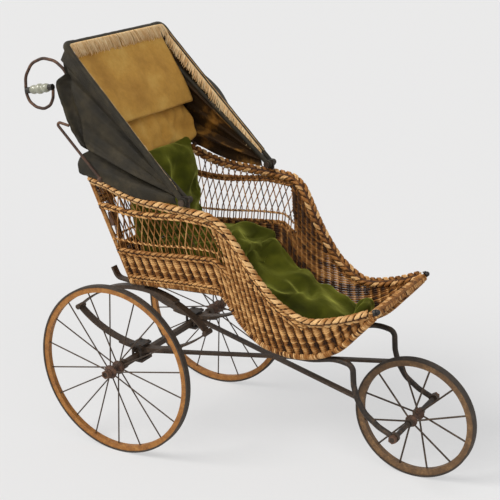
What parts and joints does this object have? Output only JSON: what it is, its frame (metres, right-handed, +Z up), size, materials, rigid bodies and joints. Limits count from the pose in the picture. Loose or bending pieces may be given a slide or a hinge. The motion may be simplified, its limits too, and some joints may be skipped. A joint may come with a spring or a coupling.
{
  "type": "perambulator",
  "caption": "Three-wheeled wicker perambulator with elliptic springs, wire wheels, velvet cushions, a folding fringed hood and scroll handles.",
  "frame": {"origin": "ground plane under the middle of the overall box", "axes": "+X to the front wheel, +Y to the rider's left, +Z up"},
  "size_m": [1.344, 0.6424, 1.1715],
  "materials": {
    "tyre": "worn matte tread",
    "wheel_rim": "old ochre paint on bent wood",
    "front_rim": "dark brown paint on bent wood",
    "iron": "worn brown black paint",
    "rusty_iron": "rust brown",
    "wicker": "woven cane, varnished",
    "wicker_pale": "plaited cane, varnished",
    "velvet": "olive green velvet",
    "oilcloth": "dark coated cloth",
    "lining": "tan lining cloth",
    "bow_wood": "dark stained bent wood",
    "ceramic": "white glaze",
    "black_metal": "black"
  },
  "bodies": {
    "carriage": {"rear_axle": "iron", "front_axle": "iron", "axle_nuts": "iron", "fork_arm_right": "iron", "fork_arm_left": "iron", "perch_bar_a": "iron", "perch_bar_b": "iron", "spring_right_lower": "iron", "spring_right_upper": "iron", "spring_left_lower": "iron", "spring_left_upper": "iron", "spring_clamps": "iron", "spring_end_bolts": "iron", "spring_pads": "iron", "rail_right": "iron", "rail_left": "iron", "hood_pivot_right": "iron", "hood_pivot_left": "iron", "hood_rest_right": "iron", "hood_rest_left": "iron", "handle_iron_right": "iron", "handle_iron_left": "iron", "basket_side_right": "wicker", "basket_side_left": "wicker", "basket_back": "wicker", "basket_floor": "wicker", "basket_rim_right": "wicker_pale", "basket_rim_left": "wicker_pale", "basket_rim_back": "wicker_pale", "basket_front_roll": "wicker_pale", "basket_corner_knobs": "black_metal", "handle_ferrules": "black_metal", "seat_cushion": "velvet", "leg_cushion": "velvet", "back_cushion": "velvet", "hood_back_cloth": "oilcloth", "handle_grip_right": "ceramic", "handle_grip_left": "ceramic"},
    "rear_wheel_right": {"rear_right_tyre": "tyre", "rear_right_rim": "wheel_rim", "rear_right_hub": "rusty_iron", "rear_right_spokes": "iron"},
    "rear_wheel_left": {"rear_left_tyre": "tyre", "rear_left_rim": "wheel_rim", "rear_left_hub": "rusty_iron", "rear_left_spokes": "iron"},
    "front_wheel": {"front_tyre": "tyre", "front_rim": "front_rim", "front_hub": "rusty_iron", "front_spokes": "iron"},
    "hood_middle": {"hood_middle_bow": "bow_wood", "hood_roof_cloth": "lining"},
    "hood_front": {"hood_front_bow": "bow_wood"}
  },
  "joints": [
    {"name": "rear_right_spin", "type": "hinge", "parent": "carriage", "child": "rear_wheel_right", "pos_m": [-0.31397, -0.2765, 0.254], "axis": [0, 1, 0], "continuous": true},
    {"name": "rear_left_spin", "type": "hinge", "parent": "carriage", "child": "rear_wheel_left", "pos_m": [-0.31397, 0.2765, 0.254], "axis": [0, 1, 0], "continuous": true},
    {"name": "front_spin", "type": "hinge", "parent": "carriage", "child": "front_wheel", "pos_m": [0.49703, 0, 0.175], "axis": [0, 1, 0], "continuous": true},
    {"name": "hood_middle_tilt", "type": "hinge", "parent": "carriage", "child": "hood_middle", "pos_m": [-0.08197, 0, 0.774], "axis": [0, 1, 0], "range_deg": [0, 14], "deforming": ["hood_back_cloth"]},
    {"name": "hood_front_tilt", "type": "hinge", "parent": "hood_middle", "child": "hood_front", "pos_m": [-0.08197, 0, 0.774], "axis": [0, 1, 0], "range_deg": [0, 36], "deforming": ["hood_roof_cloth"]}
  ],
  "couplings": [
    {"joint": "hood_middle_tilt", "follows": "hood_front_tilt", "ratio": 0.38889}
  ]
}
